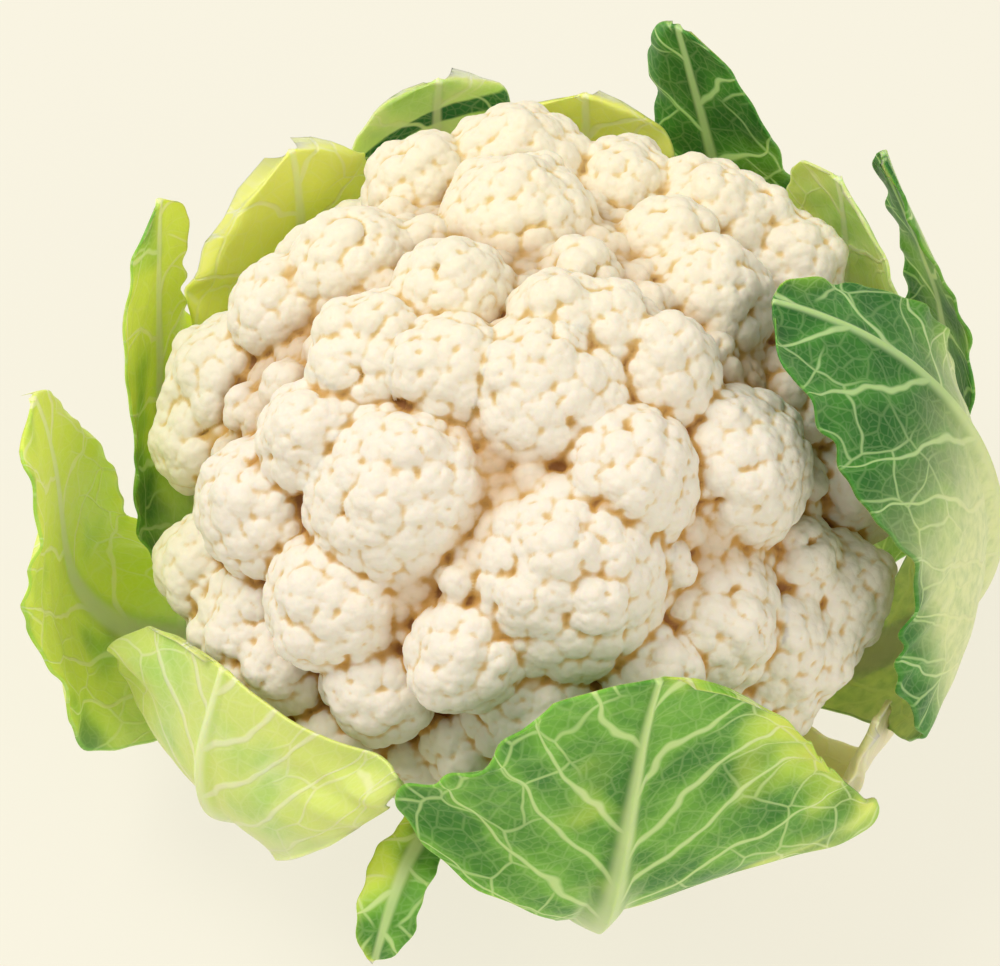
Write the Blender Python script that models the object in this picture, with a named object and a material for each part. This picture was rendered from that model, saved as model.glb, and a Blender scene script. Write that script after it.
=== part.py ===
"""A trimmed head of cauliflower standing on its cut stalk, in its wrapper leaves.

Metres, +Z up. The origin is the centre of the stalk's flat cut end. The front is -Y, and a bearing is
measured from the front, growing towards +X.
"""

import math
import random
from collections import namedtuple

import bmesh
import bpy
from mathutils import Euler, Matrix, Vector

MM = 0.001
GAP = 0.3 * MM  # left between pieces that touch on the real plant

# The curd: an oval dome of florets, widest at CURD_LEVEL above the cut end.
CURD_RADIUS = 89 * MM
CURD_RISE = 71 * MM
CURD_LEVEL = 97 * MM
CORE_DEPTH = 19 * MM  # the solid branches lie this far below the tops of the florets
CURD_FOOT = 40 * MM  # the branches meet the stalk at this height
BRANCHES = 10
BRANCH_DEPTH = 0.12  # share of the radius that the hollows between branches take away

# The stalk and what the leaves spring from.
STALK_RADIUS = 25 * MM
STALK_FLARE = 27 * MM
STALK_SIDES = 24

# Florets measured as they show from the front, looking down at SEEN_FROM from SEEN_AT away: right and up
# of the curd's centre, and radius, all in millimetres.
SEEN_FROM = math.radians(50)
SEEN_AT = 925 * MM
SEEN_FLORETS = [
    (-27, -9, 20), (11, -27, 23), (27, -5, 15), (52, -2, 17), (7, 14, 18), (36, 21, 12),
    (-54, -40, 21), (-32, -54, 13), (-43, -34, 15), (-42, -71, 12), (-25, -72, 10), (-12, -47, 12),
    (4, -58, 15), (-11, -67, 11), (44, -39, 18), (67, -27, 12), (68, -52, 19), (54, -64, 14),
    (79, -5, 13), (33, -51, 11), (46, 37, 15), (11, 33, 11), (23, 31, 11), (1, 53, 18),
    (1, 68, 17), (55, 62, 16), (38, 51, 12), (55, 49, 12), (74, 52, 12), (26, 63, 14),
    (-21, 64, 14), (-39, 44, 15), (-32, 23, 15), (-15, 39, 13), (-56, 36, 12), (-64, 15, 19),
    (-79, 5, 12), (-60, -12, 15), (-78, -26, 12), (-16, 21, 12), (27, -72, 14), (66, 16, 15),
    (80, -34, 13), (78, -50, 13), (71, -64, 12),
]  # fmt: skip

BULGE = 1.16  # how far a floret at the dome's edge may stand out of it
SWELL = 1.2  # a floret's ball is this much wider than the part of it that its neighbours leave in sight

# The rest of the dome is filled by a golden-angle spiral of florets, down to just under the widest level,
# and then the gaps by a finer spiral of small ones that sit deeper.
Spiral = namedtuple("Spiral", "count radii sunk spacing")
SPIRALS = [
    Spiral(90, (13 * MM, 18 * MM), 0, 0.85),
    Spiral(130, (10 * MM, 12 * MM), 6 * MM, 0.76),
]  # fmt: skip
LOWEST_FLORET = -0.34  # as a share of the dome's rise

# Each floret is a ball with a knob at every corner of an icosphere and a crease inside every face. The
# largest have finer knobs, and the small ones, deep in the gaps, are plain rough balls.
LARGE_FLORET = 25 * MM
SMALL_FLORET = 16 * MM
KNOB_SPREAD = 0.045
CREASE = {2: 0.87, 3: 0.92}

GOLDEN_ANGLE = math.pi * (3 - math.sqrt(5))

# Blades and ribs of the leaves.
BLADE = 1.3 * MM
RIB_TIP = 1.8 * MM
ROWS = 13
CROWDING = 1.25  # above 1 the rows of faces crowd towards the tip, where the outline turns
COLUMNS = (-1.0, -0.72, -0.4, -0.12, 0.0, 0.12, 0.4, 0.72, 1.0)

# One wrapper leaf. Heights and radii are in millimetres, angles in degrees. The midrib leaves the stalk
# at root_height and root_bearing, stands upright at the belly, and ends at the tip, leaning outwards by
# lean. left and right are the blade's half width and how far that side hangs back, seen from outside with
# the tip up. The blade starts at neck, a share of the midrib, and its end is straight-sided at blunt 1,
# round at 2 and square above. wrap is 1 where the blade follows the curd and less where it stands off.
# twist turns the right margin outwards, sway turns the tip in bearing, roll curls the margins outwards,
# and wave and waves are the ruffles' height and number.
Leaf = namedtuple(
    "Leaf",
    "name root_height root_bearing bearing belly belly_height tip tip_height lean "
    "left right neck blunt petiole rib wrap twist sway roll wave waves colour",
)
GREEN, PALE, YELLOW, DARK, BLUSH = "green", "pale", "yellow", "dark", "blush"
LEAVES = [
    Leaf("leaf_front", 11, 14, 10, 100, 58, 94, 126, 2,
         (54, -8), (74, 30), 0.43, 1.15, 10, 9.5, 0.62, 0, 10, 3, 3.5, 3.5, GREEN),
    Leaf("leaf_front_left", 22, 314, 312, 101, 58, 92, 94, -16,
         (46, 14), (52, -34), 0.34, 3.4, 9, 8, 1.0, 0, 0, 3, 2.5, 4.5, PALE),
    Leaf("leaf_left", 11, 262, 272, 108, 66, 112, 125, 10,
         (32, 26), (38, -4), 0.12, 2.2, 10, 8, 0.95, 10, 0, 2, 3.5, 3.0, GREEN),
    Leaf("leaf_left_back", 22, 240, 251, 100, 78, 102, 134, 0,
         (20, 10), (30, 10), 0.12, 2.0, 9, 7, 0.90, -3, -12, 0, 2.0, 2.5, GREEN),
    Leaf("leaf_curled", 33, 214, 216, 94.5, 80, 96, 126, 12,
         (30, 8), (44, 26), 0.12, 3.0, 9, 7, 1.0, 0, 0, 1, 1.5, 3.5, YELLOW),
    Leaf("leaf_back_pale", 11, 200, 191, 107, 74, 102, 128, -25,
         (32, 12), (34, 12), 0.12, 2.6, 10, 8, 0.95, 0, 0, 1, 2.5, 3.0, PALE),
    Leaf("leaf_back_yellow", 33, 172, 169, 97, 80, 94, 131, -8,
         (30, 6), (30, 6), 0.12, 3.2, 9, 7, 1.0, 0, 0, 1, 1.5, 3.0, YELLOW),
    Leaf("leaf_back_dark", 22, 148, 143, 110, 78, 110, 146, 4,
         (25, 6), (17, 0), 0.12, 3.0, 9, 8, 0.85, 0, 15, 2, 2.5, 2.5, DARK),
    Leaf("leaf_right_back_pale", 33, 125, 123, 100, 80, 94, 143, -16,
         (38, 4), (30, 8), 0.12, 2.6, 9, 7, 1.0, 0, 0, 0, 1.0, 2.5, PALE),
    Leaf("leaf_right_upright", 11, 112, 108, 122, 76, 106, 147, -12,
         (18, 8), (17, 8), 0.12, 2.0, 9, 7, 1.6, 0, 14, 0, 1.5, 2.5, DARK),
    Leaf("leaf_right_folded", 22, 74, 86, 117, 74, 60, 156, -74,
         (62, 2), (34, 12), 0.20, 1.3, 10, 10, 1.5, 0, 2, 2, 2.5, 4.0, DARK),
    Leaf("leaf_small_pale", 33, 52, 56.5, 101.5, 44, 104, 64, 8,
         (15, 4), (17, 4), 0.30, 2.6, 7, 5, 0.90, 0, 0, 1, 2.0, 2.0, BLUSH),
]  # fmt: skip
# The leaf end that bends over outwards and hangs down: its belly is the top of the bend.
HANGING_LEAF = Leaf(
    "leaf_front_hanging", 33, 341, 346, 92, 54, 110, 33, 180,
    (7, 0), (7, 0), 0.40, 2.6, 6, 5, 1.0, 0, -4, 0, 1.5, 1.5, GREEN,
)  # fmt: skip

COLOURS = {
    "curd": (0.86, 0.78, 0.62),
    "stalk": (0.66, 0.74, 0.42),
    GREEN: (0.18, 0.42, 0.05),
    PALE: (0.50, 0.66, 0.24),
    YELLOW: (0.46, 0.60, 0.08),
    DARK: (0.06, 0.25, 0.03),
    BLUSH: (0.70, 0.62, 0.44),
}
ROUGHNESS = 0.5


def clear_scene():
    for old in list(bpy.data.objects):
        bpy.data.objects.remove(old)


def finish_of(name):
    """A Principled material in the named colour, made once."""
    made = bpy.data.materials.get(name)
    if made:
        return made
    made = bpy.data.materials.new(name)
    made.use_nodes = True
    surface = made.node_tree.nodes["Principled BSDF"]
    surface.inputs["Base Color"].default_value = (*COLOURS[name], 1)
    surface.inputs["Roughness"].default_value = ROUGHNESS
    surface.inputs["Metallic"].default_value = 0
    return made


def add_object(name, mesh, colour):
    made = bpy.data.objects.new(name, mesh)
    mesh.materials.append(finish_of(colour))
    bpy.context.scene.collection.objects.link(made)
    return made


def turned(name, rings, sides, flute=lambda height: 0.0, flutes=0):
    """A closed turned solid. rings are (radius, height) from the bottom up, and both ends are on the axis."""
    points = [(0, 0, rings[0][1])]
    for radius, height in rings:
        for i in range(sides):
            angle = 2 * math.pi * i / sides
            reach = radius * (1 - flute(height) * (0.5 + 0.5 * math.cos(flutes * angle)))
            points.append((reach * math.sin(angle), -reach * math.cos(angle), height))
    points.append((0, 0, rings[-1][1]))
    top = len(points) - 1
    faces = []
    for i in range(sides):
        j = (i + 1) % sides
        faces.append((0, 1 + j, 1 + i))
        for ring in range(len(rings) - 1):
            low, high = 1 + ring * sides, 1 + (ring + 1) * sides
            faces.append((low + i, low + j, high + j, high + i))
        faces.append((top - sides + i, top - sides + j, top))
    mesh = bpy.data.meshes.new(name)
    mesh.from_pydata(points, [], faces)
    return mesh


# Curd


def on_dome(right, up, radius):
    """The centre of a floret seen at (right, up): its top touches the dome, or it bulges out past the edge."""
    wide, high = CURD_RADIUS - radius, CURD_RISE - radius
    scale = Vector((1 / wide, 1 / wide, 1 / high))
    start = Vector((right, up * math.sin(SEEN_FROM), up * math.cos(SEEN_FROM)))
    eye = Vector((0, -math.cos(SEEN_FROM), math.sin(SEEN_FROM))) * SEEN_AT
    along = (eye - start).normalized() * scale
    start *= scale
    middle = -start.dot(along) / along.length_squared
    inside = middle**2 - (start.length_squared - 1) / along.length_squared
    hit = start + along * (middle + math.sqrt(max(inside, 0)))
    hit *= min(hit.length, BULGE) / hit.length
    return Vector((hit.x * wide, hit.y * wide, CURD_LEVEL + hit.z * high))


def on_spiral(height, angle, depth):
    """A place inside the dome, depth below the tops of the florets."""
    around = math.sqrt(1 - height**2) * (CURD_RADIUS - depth)
    lift = height * (CURD_RISE - depth)
    return Vector((around * math.sin(angle), around * math.cos(angle), CURD_LEVEL + lift))


def floret_places(draw):
    """Centre and radius of every floret: those measured from the front, then the spirals round the rest."""
    places = []
    for right, up, r in SEEN_FLORETS:
        radius = r * MM * SWELL
        places.append((on_dome(right * MM, up * MM, radius), radius))
    for spiral in SPIRALS:
        for i in range(spiral.count):
            radius = draw.uniform(*spiral.radii)
            height = 1 - (1 - LOWEST_FLORET) * (i + 0.5) / spiral.count
            centre = on_spiral(height, GOLDEN_ANGLE * i, radius + spiral.sunk)
            if all((centre - c).length > spiral.spacing * (radius + r) for c, r in places):
                places.append((centre, radius))
    return places


def add_floret(bm, centre, radius, draw):
    """One floret: a ball whose knobs stand out between creases, turned a way of its own."""
    detail = 3 if radius > LARGE_FLORET else 2
    for knob in bmesh.ops.create_icosphere(bm, subdivisions=detail, radius=radius)["verts"]:
        knob.co *= 1 + draw.uniform(-KNOB_SPREAD, KNOB_SPREAD)
    if radius > SMALL_FLORET:
        for crease in bmesh.ops.poke(bm, faces=bm.faces)["verts"]:
            crease.co = crease.co.normalized() * radius * CREASE[detail]
    turn = Euler([draw.uniform(0, 2 * math.pi) for _ in range(3)])
    bmesh.ops.rotate(bm, verts=bm.verts, matrix=turn.to_matrix())
    bmesh.ops.translate(bm, verts=bm.verts, vec=centre)


def curd_core():
    """The branches under the florets: fluted where they rise from the stalk, a plain dome above."""
    wide, high = CURD_RADIUS - CORE_DEPTH, CURD_RISE - CORE_DEPTH
    rings = [(STALK_FLARE, CURD_FOOT), (45 * MM, 50 * MM), (64 * MM, 68 * MM)]
    dome_rings = 6
    for i in range(dome_rings):
        tilt = math.pi / 2 * i / dome_rings
        rings.append((wide * math.cos(tilt), CURD_LEVEL + high * math.sin(tilt)))

    def flute(height):
        return BRANCH_DEPTH if CURD_FOOT < height < CURD_LEVEL else 0.0

    return turned("curd", rings, BRANCHES * 3, flute, BRANCHES)


def make_curd():
    draw = random.Random(11)
    curd = add_object("curd", curd_core(), "curd")
    florets = bpy.data.collections.new("florets")
    bpy.context.scene.collection.children.link(florets)
    for i, (centre, radius) in enumerate(floret_places(draw)):
        bm = bmesh.new()
        add_floret(bm, centre, radius, draw)
        mesh = bpy.data.meshes.new(f"floret_{i}")
        bm.to_mesh(mesh)
        bm.free()
        florets.objects.link(bpy.data.objects.new(f"floret_{i}", mesh))
    union = curd.modifiers.new("florets", "BOOLEAN")
    union.operation = "UNION"
    union.operand_type = "COLLECTION"
    union.collection = florets
    union.solver = "MANIFOLD"
    apply_modifiers(curd)
    keep_outside(curd)
    for floret in list(florets.objects):
        bpy.data.objects.remove(floret)
    bpy.data.collections.remove(florets)
    return curd


def apply_modifiers(obj):
    evaluated = obj.evaluated_get(bpy.context.evaluated_depsgraph_get())
    mesh = bpy.data.meshes.new_from_object(evaluated)
    obj.modifiers.clear()
    obj.data = mesh


def keep_outside(obj):
    """Keeps the one shell that holds the whole solid, so closed hollows are filled and scraps dropped."""
    bm = bmesh.new()
    bm.from_mesh(obj.data)
    waiting, shells = set(bm.verts), []
    while waiting:
        shell, edge = set(), [waiting.pop()]
        while edge:
            vert = edge.pop()
            shell.add(vert)
            near = {link.other_vert(vert) for link in vert.link_edges} & waiting
            waiting -= near
            edge += near
        shells.append(shell)
    shells.sort(key=len)
    bmesh.ops.delete(bm, geom=[vert for shell in shells[:-1] for vert in shell])
    bm.to_mesh(obj.data)
    bm.free()


# Stalk


def make_stalk():
    top = CURD_FOOT - GAP
    rings = [
        (STALK_RADIUS - 2 * MM, 0),
        (STALK_RADIUS, 2 * MM),
        (STALK_RADIUS, 34 * MM),
        (STALK_FLARE, top),
    ]
    return add_object("stalk", turned("stalk", rings, STALK_SIDES), "stalk")


# Leaves


def bezier(a, b, c, d, t):
    return a * (1 - t) ** 3 + b * 3 * t * (1 - t) ** 2 + c * 3 * t**2 * (1 - t) + d * t**3


def midrib(leaf):
    """Points of the midrib as (distance from the axis, height), evenly spaced from root to tip."""
    root = Vector((STALK_RADIUS + GAP, leaf.root_height * MM))
    belly = Vector((leaf.belly * MM, leaf.belly_height * MM))
    tip = Vector((leaf.tip * MM, leaf.tip_height * MM))
    lean = math.radians(leaf.lean)
    end = Vector((math.sin(lean), math.cos(lean)))
    upright = Vector((0, 1)) if leaf is not HANGING_LEAF else Vector((1, 0.1)).normalized()
    low, high = (belly - root).length, (tip - belly).length
    steps = 40
    points = [
        bezier(root, root + Vector((0.5, 0.06)) * low, belly - upright * 0.4 * low, belly, i / steps)
        for i in range(steps)
    ]
    points += [
        bezier(belly, belly + upright * 0.4 * high, tip - end * 0.35 * high, tip, i / steps)
        for i in range(steps + 1)
    ]
    return evenly(points, 2 * steps)


def evenly(points, count):
    """The same line in count equal steps, and its length."""
    lengths = [0.0]
    for a, b in zip(points, points[1:]):
        lengths.append(lengths[-1] + (b - a).length)
    spaced, k = [], 0
    for i in range(count + 1):
        wanted = lengths[-1] * i / count
        while k < len(points) - 2 and lengths[k + 1] < wanted:
            k += 1
        share = (wanted - lengths[k]) / (lengths[k + 1] - lengths[k])
        spaced.append(points[k].lerp(points[k + 1], min(share, 1)))
    return spaced, lengths[-1]


def smooth(x):
    x = min(max(x, 0), 1)
    return x * x * (3 - 2 * x)


WIDEST = 0.45  # of the way from the neck to the tip, where the blade is widest
TIP_WIDTH = 0.30  # the tip's half width as a share of the blade's


def bladed(leaf, u):
    """0 up to the neck, 1 from the blade's widest place on, for u along the midrib."""
    return smooth((u - leaf.neck) / (WIDEST * (1 - leaf.neck)))


def half_width(leaf, u, side):
    """The blade's half width at u along the midrib, in metres."""
    blade = (leaf.right if side > 0 else leaf.left)[0]
    widest = leaf.neck + WIDEST * (1 - leaf.neck)
    past = max((u - widest) / (1 - widest), 0)
    round_end = (1 - (1 - TIP_WIDTH**leaf.blunt) * past**leaf.blunt) ** (1 / leaf.blunt)
    return (leaf.petiole + (blade - leaf.petiole) * bladed(leaf, u)) * round_end * MM


def leaf_point(leaf, line, length, u, f, depth):
    """A point of the leaf: u along the midrib, f across it from -1 to 1, depth below the inner face."""
    share = bladed(leaf, u)
    across = f * half_width(leaf, u, f)
    back = (leaf.right if f > 0 else leaf.left)[1] * MM / length
    along = min(max(u - share * back * f * f, 0), 1)
    place = along * (len(line) - 1)
    k = min(int(place), len(line) - 2)
    at = line[k].lerp(line[k + 1], place - k)
    out = (line[k + 1] - line[k]).normalized()
    outward = Vector((out.y, -out.x))

    # The margins ruffle and roll away from the curd.
    ruffle = math.sin(2 * math.pi * leaf.waves * u + (0 if f > 0 else 2.1))
    lift = share * (leaf.roll * MM * abs(f) ** 4 + leaf.wave * MM * f * f * ruffle)
    at = at + outward * (lift + depth)

    # Round the axis: fully at the root, by the leaf's own wrap over the blade.
    wrap = 1 + (leaf.wrap - 1) * share
    bend = max(at.x, 1 * MM) / wrap
    swing = across / bend
    offset = Vector((bend * (math.cos(swing) - 1), bend * math.sin(swing)))
    offset.rotate(Matrix.Rotation(-math.radians(leaf.twist) * share, 2))
    radial, tangent = at.x + offset.x, offset.y
    turn = leaf.root_bearing + (leaf.bearing - leaf.root_bearing) * smooth(u / 0.5) + leaf.sway * u * u
    turn = math.radians(turn)
    return Vector((
        radial * math.sin(turn) + tangent * math.cos(turn),
        -radial * math.cos(turn) + tangent * math.sin(turn),
        at.y,
    ))  # fmt: skip


def thickness(leaf, u, f):
    """Blade thickness, swelling to the midrib, which tapers from the petiole to the tip."""
    rib = leaf.rib * MM * (1 - u) ** 1.2 + RIB_TIP * u
    reach = leaf.petiole * MM * (1 - u) ** 1.3 + 1.5 * MM
    across = abs(f) * half_width(leaf, u, f)
    return BLADE + max(rib - BLADE, 0) * max(0.0, 1 - across / reach) ** 0.8


def make_leaf(leaf):
    """One leaf as a closed solid: an inner and an outer face cut into like triangles, and a thin rim."""
    line, length = midrib(leaf)
    rows = [1 - (1 - i / (ROWS - 1)) ** CROWDING for i in range(ROWS)]
    inner = [leaf_point(leaf, line, length, u, f, 0) for u in rows for f in COLUMNS]
    outer = [leaf_point(leaf, line, length, u, f, thickness(leaf, u, f)) for u in rows for f in COLUMNS]
    wide = len(COLUMNS)
    under = len(inner)
    faces = []
    for i in range(ROWS - 1):
        for j in range(wide - 1):
            a, b = i * wide + j, i * wide + j + 1
            c, d = b + wide, a + wide
            faces += [(a, b, c), (a, c, d)]
            faces += [(under + c, under + b, under + a), (under + d, under + c, under + a)]
    rim = [i * wide for i in range(ROWS)]
    rim += [(ROWS - 1) * wide + j for j in range(1, wide)]
    rim += [i * wide + wide - 1 for i in range(ROWS - 2, -1, -1)]
    rim += [j for j in range(wide - 2, 0, -1)]
    for a, b in zip(rim, rim[1:] + rim[:1]):
        faces += [(a, b, under + b), (a, under + b, under + a)]
    mesh = bpy.data.meshes.new(leaf.name)
    mesh.from_pydata(inner + outer, [], faces)
    bm = bmesh.new()
    bm.from_mesh(mesh)
    bmesh.ops.recalc_face_normals(bm, faces=bm.faces)
    bm.to_mesh(mesh)
    bm.free()
    return add_object(leaf.name, mesh, leaf.colour)


def main():
    clear_scene()
    make_curd()
    make_stalk()
    for leaf in [*LEAVES, HANGING_LEAF]:
        make_leaf(leaf)


main()
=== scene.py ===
"""A trimmed head of cauliflower on its cut stalk, in its wrapper leaves, on a pale studio floor."""

import math
import random
from collections import namedtuple

import bmesh
import bpy
import numpy as np
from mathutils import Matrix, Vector, noise


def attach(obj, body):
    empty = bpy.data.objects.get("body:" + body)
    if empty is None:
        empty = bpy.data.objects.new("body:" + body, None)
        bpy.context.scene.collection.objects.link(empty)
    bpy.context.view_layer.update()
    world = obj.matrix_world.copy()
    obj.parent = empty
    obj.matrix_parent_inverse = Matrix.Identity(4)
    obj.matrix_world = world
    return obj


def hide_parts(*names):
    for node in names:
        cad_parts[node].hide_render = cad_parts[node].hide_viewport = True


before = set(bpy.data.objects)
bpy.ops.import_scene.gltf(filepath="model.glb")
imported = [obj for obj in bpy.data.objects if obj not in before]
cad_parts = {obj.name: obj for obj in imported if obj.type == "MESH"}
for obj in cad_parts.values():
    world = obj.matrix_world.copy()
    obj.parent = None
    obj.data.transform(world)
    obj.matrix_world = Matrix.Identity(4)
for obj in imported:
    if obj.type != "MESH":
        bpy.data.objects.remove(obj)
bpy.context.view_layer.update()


# Stalk
# The thick stem that carries the head and every leaf. It is pale green and fibrous, and was cut off
# square when the head was trimmed, so it stands on its cut end.

MM = 0.001
STALK_RADIUS = 25 * MM
STALK_FLARE = 27 * MM
STALK_TOP = 39.7 * MM
STALK_SIDES = 144
FLARE_RINGS = 6
# The next ones are in millimetres.
CUT_RINGS = (2, 5, 8, 11, 14, 17, 20, 22.4)
CUT_EDGE = ((23.6, 0.3), (24.6, 1.1), (25, 2.4))  # radius and height where the cut end rounds into the side
SIDE_STEP = 0.8
FLARE_FROM = 34
FLARE_STEP = 0.9
RIDGE = 0.35
FINE_RIDGE = 0.25
SCAR_DEPTH = 0.7
SCAR_SPACING = 11  # up the stalk, from one leaf scar to the next
VESSEL_RING = 19  # radius of the greener ring in the cut end

STALK_GREEN = (0.52, 0.62, 0.26)
STALK_PALE = (0.74, 0.80, 0.50)
STALK_BLOTCH = (0.60, 0.52, 0.28)
CUT_FLESH = (0.84, 0.82, 0.62)
CUT_VESSELS = (0.56, 0.62, 0.28)
CUT_PITS = (0.66, 0.56, 0.32)
CUT_DRIED = (0.40, 0.30, 0.14)


class Value:
    """An output of a node that sums can be written with."""

    def __init__(self, nodes, socket):
        self.nodes = nodes
        self.socket = socket

    def maths(self, operation, *others, clamp=False):
        return self.nodes.add("ShaderNodeMath", {"operation": operation, "use_clamp": clamp}, self, *others)

    def __add__(self, other):
        return self.maths("ADD", other)

    __radd__ = __add__

    def __mul__(self, other):
        return self.maths("MULTIPLY", other)

    __rmul__ = __mul__

    def __sub__(self, other):
        return self.maths("SUBTRACT", other)

    def __rsub__(self, other):
        return self.nodes.add("ShaderNodeMath", {"operation": "SUBTRACT"}, other, self)

    def __truediv__(self, other):
        return self.maths("DIVIDE", other)

    def __rtruediv__(self, other):
        return self.nodes.add("ShaderNodeMath", {"operation": "DIVIDE"}, other, self)

    def __abs__(self):
        return self.maths("ABSOLUTE")

    def most(self, other):
        return self.maths("MAXIMUM", other)

    def step(self, low, high):
        """Eases from 0 to 1 as the value goes from low to high."""
        return self.nodes.add("ShaderNodeMapRange", {"interpolation_type": "SMOOTHSTEP"}, self, low, high)

    def to_middle(self, spacing):
        """How far the value is from the middle of its span, when it is cut into spans of this size."""
        return abs((self / spacing).maths("FRACT") - 0.5) * spacing


class Nodes:
    """A node tree that grows one node at a time."""

    def __init__(self, tree):
        self.tree = tree

    def add(self, kind, settings, *values, pick=0, **named):
        """Adds a node, sets its settings, then fills its sockets in order or by name."""
        node = self.tree.nodes.new(kind)
        for key, value in settings.items():
            setattr(node, key, value)
        shown = [s for s in node.inputs if s.enabled]
        filled = list(zip(shown, values))
        for key, value in named.items():
            filled.append((next(s for s in shown if s.name == key.replace("_", " ")), value))
        for socket, value in filled:
            if isinstance(value, Value):
                self.tree.links.new(value.socket, socket)
            elif value is not None:
                socket.default_value = value
        made = [s for s in node.outputs if s.enabled]
        return Value(self, made[pick] if isinstance(pick, int) else next(s for s in made if s.name == pick))

    def vector(self, operation, *values, **named):
        return self.add("ShaderNodeVectorMath", {"operation": operation}, *values, **named)

    def parts(self, vector):
        return [self.add("ShaderNodeSeparateXYZ", {}, vector, pick=axis) for axis in "XYZ"]

    def joined(self, x, y, z=0.0):
        return self.add("ShaderNodeCombineXYZ", {}, x, y, z)


class Shade(Nodes):
    """A Principled finish whose colour and relief are worked out from the place on the object."""

    def __init__(self, name, roughness, glow=0.0, depth=2 * MM, glow_reach=(1.0, 0.7, 0.4), shine=0.4):
        self.material = bpy.data.materials.new(name)
        self.material.use_nodes = True
        super().__init__(self.material.node_tree)
        self.surface = self.tree.nodes["Principled BSDF"]
        self.surface.inputs["Roughness"].default_value = roughness
        self.surface.inputs["Specular IOR Level"].default_value = shine
        self.surface.inputs["Subsurface Weight"].default_value = glow
        self.surface.inputs["Subsurface Radius"].default_value = glow_reach
        self.surface.inputs["Subsurface Scale"].default_value = depth
        self.place = self.add("ShaderNodeTexCoord", {}, pick="Object")

    def attribute(self, name, pick="Fac"):
        return self.add("ShaderNodeAttribute", {"attribute_name": name}, pick=pick)

    def noise(self, size, detail=2.0, where=None):
        """Soft patches about size across."""
        where = where or self.place
        return self.add("ShaderNodeTexNoise", {}, where, Scale=1 / size, Detail=detail, pick="Fac")

    def cells(self, size, feature="F1", where=None, flat=False):
        """Rounded cells about size across: the distance from their middles, or from their walls."""
        where = where or self.place
        settings = {"feature": feature, "voronoi_dimensions": "2D" if flat else "3D"}
        return self.add("ShaderNodeTexVoronoi", settings, where, Scale=1 / size, pick="Distance")

    def mix(self, share, a, b):
        """A colour between a and b."""
        a, b = ((*c, 1) if isinstance(c, tuple) else c for c in (a, b))
        return self.add("ShaderNodeMix", {"data_type": "RGBA"}, share, a, b)

    def colour(self, value):
        self.tree.links.new(value.socket, self.surface.inputs["Base Color"])

    def roughness(self, value):
        self.tree.links.new(value.socket, self.surface.inputs["Roughness"])

    def relief(self, height, metres, strength=1.0):
        """Raises the surface by height, a value from 0 to 1 for that many metres."""
        bump = self.add("ShaderNodeBump", {}, Strength=strength, Distance=metres, Height=height)
        self.tree.links.new(bump.socket, self.surface.inputs["Normal"])


def link(name, mesh):
    made = bpy.data.objects.new(name, mesh)
    bpy.context.scene.collection.objects.link(made)
    return made


def hand_over(piece, node):
    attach(piece, "root")
    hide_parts(node)


stalk_shade = Shade("stalk", roughness=0.55, glow=0.15, depth=1.5 * MM, glow_reach=(0.8, 1.0, 0.4))
x, y, z = stalk_shade.parts(stalk_shade.place)
radius = stalk_shade.vector("LENGTH", stalk_shade.joined(x, y))
fibre = stalk_shade.noise(1.2 * MM, 3.0, stalk_shade.joined(x, y, z * 0.06))
blotch = stalk_shade.noise(14 * MM, 3.0)
skin = stalk_shade.mix(fibre.step(0.35, 0.70), STALK_GREEN, STALK_PALE)
skin = stalk_shade.mix(blotch.step(0.5, 0.8) * 0.5, skin, STALK_BLOTCH)
ring = 1 - abs(radius - VESSEL_RING * MM).step(0.4 * MM, 2.0 * MM)
cut = stalk_shade.mix(ring * 0.7, CUT_FLESH, CUT_VESSELS)
cut = stalk_shade.mix(stalk_shade.cells(1.6 * MM).step(0.2, 0.6) * 0.3, cut, CUT_PITS)
cut = stalk_shade.mix(radius.step(22 * MM, 23.4 * MM), cut, CUT_DRIED)
stalk_shade.colour(stalk_shade.mix(z.step(0.4 * MM, 1.2 * MM), cut, skin))
stalk_shade.relief(fibre + stalk_shade.cells(1.6 * MM) * 0.3, 0.5 * MM, 0.6)

profile = [(r * MM, 0) for r in CUT_RINGS] + [(r * MM, h * MM) for r, h in CUT_EDGE]
side_from = CUT_EDGE[-1][1] + SIDE_STEP
profile += [(STALK_RADIUS, h * MM) for h in np.arange(side_from, FLARE_FROM, SIDE_STEP)]
for i in range(FLARE_RINGS):
    widened = (STALK_FLARE - STALK_RADIUS) * i / FLARE_RINGS
    profile.append((STALK_RADIUS + widened, (FLARE_FROM + FLARE_STEP * i) * MM))
profile += [(r, STALK_TOP) for r in (STALK_FLARE, 16 * MM, 6 * MM)]
angle = np.linspace(0, 2 * math.pi, STALK_SIDES, endpoint=False)
points = []
for reach, height in profile:
    side = 0 < height < STALK_TOP
    ridge = RIDGE * np.sin(17 * angle + 40 * height) + FINE_RIDGE * np.sin(31 * angle + 2) - 0.5
    from_scar = (height / MM + 3 * np.sin(3 * angle)) % SCAR_SPACING - SCAR_SPACING / 2
    scar = -SCAR_DEPTH * np.exp(-(from_scar**2) / 0.8)
    at = reach + side * (ridge + scar) * MM
    points.append(np.stack([at * np.sin(angle), -at * np.cos(angle), np.full_like(angle, height)], 1))
points = np.vstack([*points, (0, 0, 0), (0, 0, STALK_TOP)])
low, high = len(points) - 2, len(points) - 1
faces = []
for i in range(STALK_SIDES):
    j = (i + 1) % STALK_SIDES
    faces.append((low, j, i))
    for k in range(len(profile) - 1):
        a, b = k * STALK_SIDES, (k + 1) * STALK_SIDES
        faces.append((a + i, a + j, b + j, b + i))
    faces.append((high, b + i, b + j))
mesh = bpy.data.meshes.new("stalk")
mesh.from_pydata(points.tolist(), [], faces)
mesh.shade_smooth()
mesh.materials.append(stalk_shade.material)
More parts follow.
